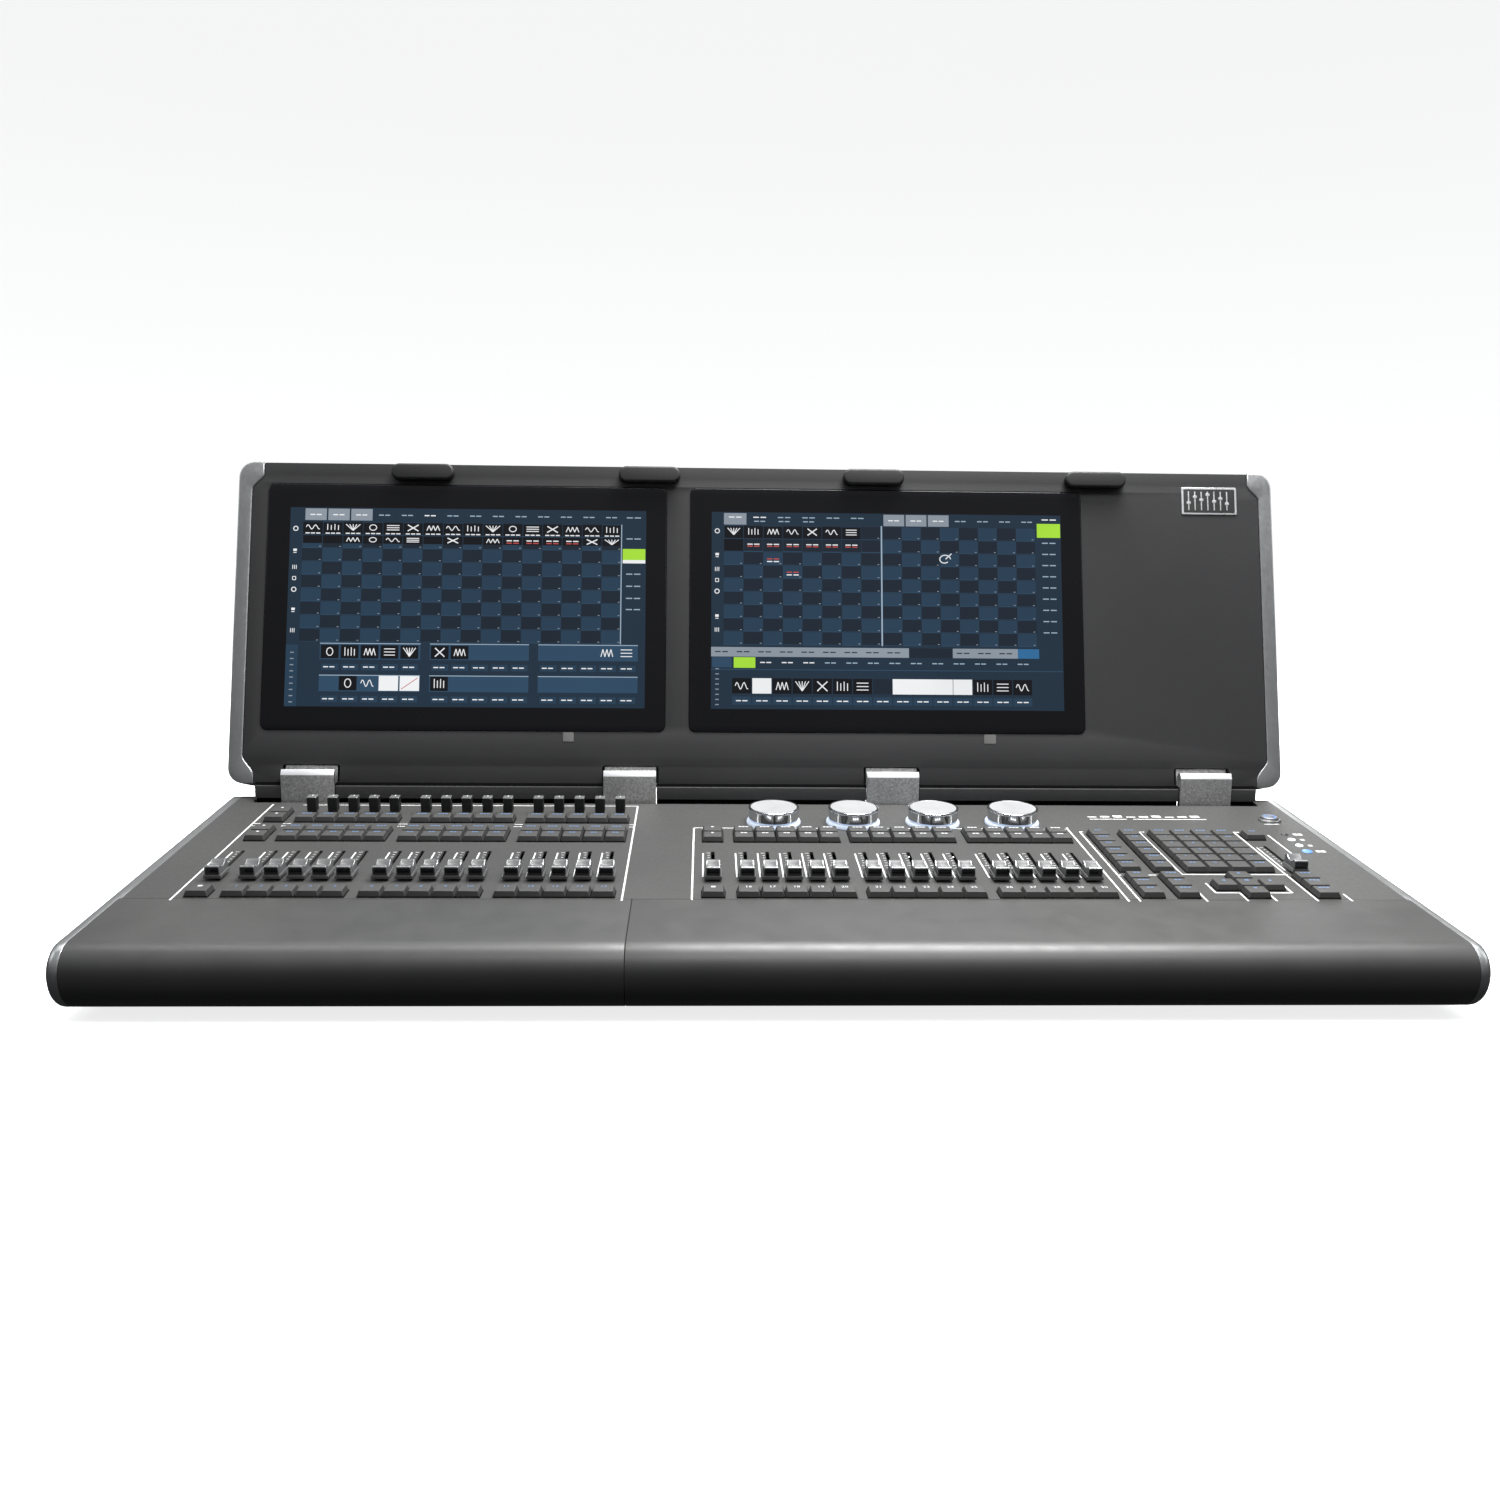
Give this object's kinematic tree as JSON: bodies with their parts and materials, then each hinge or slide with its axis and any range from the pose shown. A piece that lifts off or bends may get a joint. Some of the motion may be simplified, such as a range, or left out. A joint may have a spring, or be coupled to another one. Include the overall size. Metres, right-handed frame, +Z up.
{
  "type": "lighting control desk",
  "caption": "Wide lighting control desk: sloping key and fader panel, turning wheels, round-nosed armrest and a friction-hinged lid that holds two touch screens.",
  "frame": {"origin": "centre of the bounding box on the surface that the rubber feet stand on", "axes": "+X to the operator's right, +Y to the rear, +Z up"},
  "size_m": [1.016, 0.4764, 0.4125],
  "materials": {
    "module_case": "satin",
    "panel_dark": "satin",
    "case_dark": "satin",
    "lid_dark": "satin",
    "armrest": "satin",
    "silver": "satin",
    "bracket": "matte",
    "keycap": "matte",
    "fader_cap": "gloss",
    "knob": "satin",
    "wheel": "polished",
    "ring": "gloss",
    "button_metal": "satin",
    "screen_glass": "gloss",
    "display": "gloss",
    "rubber": "matte",
    "steel": "satin",
    "circuit_board": "satin",
    "led": "gloss",
    "badge": "satin",
    "connector": "satin"
  },
  "bodies": {
    "base": {"bottom_tray": "case_dark", "control_panel": "panel_dark", "armrest_left": "armrest", "armrest_right": "armrest", "side_cheeks": "silver", "rear_panel": "case_dark", "rear_connectors": "connector", "rubber_feet": "rubber", "hinge_brackets": "bracket", "hinge_rail": "case_dark", "hinge_pins": "steel", "control_rings": "ring", "main_board": "circuit_board", "power_supply": "module_case", "fader_modules": "module_case", "key_boards": "circuit_board", "status_leds": "led", "case_screws": "steel"},
    "lid": {"lid_back_shell": "lid_dark", "lid_front_bezel": "lid_dark", "lid_end_caps": "silver", "screen_glass": "screen_glass", "display_modules": "display", "lid_bumpers": "rubber", "lid_hinge_leaves": "steel", "badge_plate": "badge"},
    "keys_left_upper_body": {"keys_left_upper": "keycap"},
    "keys_left_middle_body": {"keys_left_middle": "keycap"},
    "keys_left_front_body": {"keys_left_front": "keycap"},
    "keys_right_middle_body": {"keys_right_middle": "keycap"},
    "keys_right_front_body": {"keys_right_front": "keycap"},
    "keys_function_body": {"keys_function": "keycap"},
    "keys_number_body": {"keys_number": "keycap"},
    "keys_arrow_body": {"keys_arrow": "keycap"},
    "keys_side_body": {"keys_side": "keycap"},
    "power_button_body": {"power_button": "button_metal"},
    "fader_caps_left_body": {"fader_caps_left": "fader_cap"},
    "fader_caps_right_body": {"fader_caps_right": "fader_cap"},
    "fader_master_left_body": {"fader_master_left": "fader_cap"},
    "fader_master_right_body": {"fader_master_right": "fader_cap"},
    "fader_cap_side_body": {"fader_cap_side": "fader_cap"},
    "rotary_knob_01_body": {"rotary_knob_01": "knob"},
    "rotary_knob_02_body": {"rotary_knob_02": "knob"},
    "rotary_knob_03_body": {"rotary_knob_03": "knob"},
    "rotary_knob_04_body": {"rotary_knob_04": "knob"},
    "rotary_knob_05_body": {"rotary_knob_05": "knob"},
    "rotary_knob_06_body": {"rotary_knob_06": "knob"},
    "rotary_knob_07_body": {"rotary_knob_07": "knob"},
    "rotary_knob_08_body": {"rotary_knob_08": "knob"},
    "rotary_knob_09_body": {"rotary_knob_09": "knob"},
    "rotary_knob_10_body": {"rotary_knob_10": "knob"},
    "rotary_knob_11_body": {"rotary_knob_11": "knob"},
    "rotary_knob_12_body": {"rotary_knob_12": "knob"},
    "rotary_knob_13_body": {"rotary_knob_13": "knob"},
    "rotary_knob_14_body": {"rotary_knob_14": "knob"},
    "rotary_knob_15_body": {"rotary_knob_15": "knob"},
    "encoder_wheel_1_body": {"encoder_wheel_1": "wheel"},
    "encoder_wheel_2_body": {"encoder_wheel_2": "wheel"},
    "encoder_wheel_3_body": {"encoder_wheel_3": "wheel"},
    "encoder_wheel_4_body": {"encoder_wheel_4": "wheel"}
  },
  "joints": [
    {"name": "lid_tilt", "type": "hinge", "parent": "base", "child": "lid", "pos_m": [0, 0.12727, 0.118], "axis": [1, 0, 0], "range_deg": [-10, 113.2]},
    {"name": "keys_left_upper_press", "type": "slide", "parent": "base", "child": "keys_left_upper_body", "axis": [0, 0.1045, -0.9945], "range_m": [0, 0.0016], "stiffness_N_per_m": 4250, "springref_m": -0.001},
    {"name": "keys_left_middle_press", "type": "slide", "parent": "base", "child": "keys_left_middle_body", "axis": [0, 0.1045, -0.9945], "range_m": [0, 0.0016], "stiffness_N_per_m": 8000, "springref_m": -0.001},
    {"name": "keys_left_front_press", "type": "slide", "parent": "base", "child": "keys_left_front_body", "axis": [0, 0.1045, -0.9945], "range_m": [0, 0.0016], "stiffness_N_per_m": 4000, "springref_m": -0.001},
    {"name": "keys_right_middle_press", "type": "slide", "parent": "base", "child": "keys_right_middle_body", "axis": [0, 0.1045, -0.9945], "range_m": [0, 0.0016], "stiffness_N_per_m": 8000, "springref_m": -0.001},
    {"name": "keys_right_front_press", "type": "slide", "parent": "base", "child": "keys_right_front_body", "axis": [0, 0.1045, -0.9945], "range_m": [0, 0.0016], "stiffness_N_per_m": 4000, "springref_m": -0.001},
    {"name": "keys_function_press", "type": "slide", "parent": "base", "child": "keys_function_body", "axis": [0, 0.1045, -0.9945], "range_m": [0, 0.0016], "stiffness_N_per_m": 4500, "springref_m": -0.001},
    {"name": "keys_number_press", "type": "slide", "parent": "base", "child": "keys_number_body", "axis": [0, 0.1045, -0.9945], "range_m": [0, 0.0016], "stiffness_N_per_m": 6000, "springref_m": -0.001},
    {"name": "keys_arrow_press", "type": "slide", "parent": "base", "child": "keys_arrow_body", "axis": [0, 0.1045, -0.9945], "range_m": [0, 0.0016], "stiffness_N_per_m": 1250, "springref_m": -0.001},
    {"name": "keys_side_press", "type": "slide", "parent": "base", "child": "keys_side_body", "axis": [0, 0.1045, -0.9945], "range_m": [0, 0.0016], "stiffness_N_per_m": 1000, "springref_m": -0.001},
    {"name": "power_button_press", "type": "slide", "parent": "base", "child": "power_button_body", "axis": [0, 0.1045, -0.9945], "range_m": [0, 0.0015], "stiffness_N_per_m": 400, "springref_m": -0.001},
    {"name": "fader_caps_left_slide", "type": "slide", "parent": "base", "child": "fader_caps_left_body", "axis": [0, 0.9945, 0.1045], "range_m": [0, 0.06]},
    {"name": "fader_caps_right_slide", "type": "slide", "parent": "base", "child": "fader_caps_right_body", "axis": [0, 0.9945, 0.1045], "range_m": [0, 0.06]},
    {"name": "fader_master_left_slide", "type": "slide", "parent": "base", "child": "fader_master_left_body", "axis": [0, 0.9945, 0.1045], "range_m": [0, 0.06]},
    {"name": "fader_master_right_slide", "type": "slide", "parent": "base", "child": "fader_master_right_body", "axis": [0, 0.9945, 0.1045], "range_m": [0, 0.06]},
    {"name": "fader_cap_side_slide", "type": "slide", "parent": "base", "child": "fader_cap_side_body", "axis": [0, 0.9945, 0.1045], "range_m": [0, 0.06]},
    {"name": "rotary_knob_01_turn", "type": "hinge", "parent": "base", "child": "rotary_knob_01_body", "pos_m": [-0.4142, 0.08173, 0.097], "axis": [0, -0.1045, 0.9945], "continuous": true},
    {"name": "rotary_knob_02_turn", "type": "hinge", "parent": "base", "child": "rotary_knob_02_body", "pos_m": [-0.3954, 0.08173, 0.097], "axis": [0, -0.1045, 0.9945], "continuous": true},
    {"name": "rotary_knob_03_turn", "type": "hinge", "parent": "base", "child": "rotary_knob_03_body", "pos_m": [-0.3766, 0.08173, 0.097], "axis": [0, -0.1045, 0.9945], "continuous": true},
    {"name": "rotary_knob_04_turn", "type": "hinge", "parent": "base", "child": "rotary_knob_04_body", "pos_m": [-0.3578, 0.08173, 0.097], "axis": [0, -0.1045, 0.9945], "continuous": true},
    {"name": "rotary_knob_05_turn", "type": "hinge", "parent": "base", "child": "rotary_knob_05_body", "pos_m": [-0.339, 0.08173, 0.097], "axis": [0, -0.1045, 0.9945], "continuous": true},
    {"name": "rotary_knob_06_turn", "type": "hinge", "parent": "base", "child": "rotary_knob_06_body", "pos_m": [-0.3108, 0.08173, 0.097], "axis": [0, -0.1045, 0.9945], "continuous": true},
    {"name": "rotary_knob_07_turn", "type": "hinge", "parent": "base", "child": "rotary_knob_07_body", "pos_m": [-0.292, 0.08173, 0.097], "axis": [0, -0.1045, 0.9945], "continuous": true},
    {"name": "rotary_knob_08_turn", "type": "hinge", "parent": "base", "child": "rotary_knob_08_body", "pos_m": [-0.2732, 0.08173, 0.097], "axis": [0, -0.1045, 0.9945], "continuous": true},
    {"name": "rotary_knob_09_turn", "type": "hinge", "parent": "base", "child": "rotary_knob_09_body", "pos_m": [-0.2544, 0.08173, 0.097], "axis": [0, -0.1045, 0.9945], "continuous": true},
    {"name": "rotary_knob_10_turn", "type": "hinge", "parent": "base", "child": "rotary_knob_10_body", "pos_m": [-0.2356, 0.08173, 0.097], "axis": [0, -0.1045, 0.9945], "continuous": true},
    {"name": "rotary_knob_11_turn", "type": "hinge", "parent": "base", "child": "rotary_knob_11_body", "pos_m": [-0.2076, 0.08173, 0.097], "axis": [0, -0.1045, 0.9945], "continuous": true},
    {"name": "rotary_knob_12_turn", "type": "hinge", "parent": "base", "child": "rotary_knob_12_body", "pos_m": [-0.1888, 0.08173, 0.097], "axis": [0, -0.1045, 0.9945], "continuous": true},
    {"name": "rotary_knob_13_turn", "type": "hinge", "parent": "base", "child": "rotary_knob_13_body", "pos_m": [-0.17, 0.08173, 0.097], "axis": [0, -0.1045, 0.9945], "continuous": true},
    {"name": "rotary_knob_14_turn", "type": "hinge", "parent": "base", "child": "rotary_knob_14_body", "pos_m": [-0.1512, 0.08173, 0.097], "axis": [0, -0.1045, 0.9945], "continuous": true},
    {"name": "rotary_knob_15_turn", "type": "hinge", "parent": "base", "child": "rotary_knob_15_body", "pos_m": [-0.1324, 0.08173, 0.097], "axis": [0, -0.1045, 0.9945], "continuous": true},
    {"name": "encoder_wheel_1_turn", "type": "hinge", "parent": "base", "child": "encoder_wheel_1_body", "pos_m": [0.0084, 0.05736, 0.09444], "axis": [0, -0.1045, 0.9945], "continuous": true},
    {"name": "encoder_wheel_2_turn", "type": "hinge", "parent": "base", "child": "encoder_wheel_2_body", "pos_m": [0.0812, 0.05736, 0.09444], "axis": [0, -0.1045, 0.9945], "continuous": true},
    {"name": "encoder_wheel_3_turn", "type": "hinge", "parent": "base", "child": "encoder_wheel_3_body", "pos_m": [0.1542, 0.05736, 0.09444], "axis": [0, -0.1045, 0.9945], "continuous": true},
    {"name": "encoder_wheel_4_turn", "type": "hinge", "parent": "base", "child": "encoder_wheel_4_body", "pos_m": [0.2274, 0.05736, 0.09444], "axis": [0, -0.1045, 0.9945], "continuous": true}
  ]
}
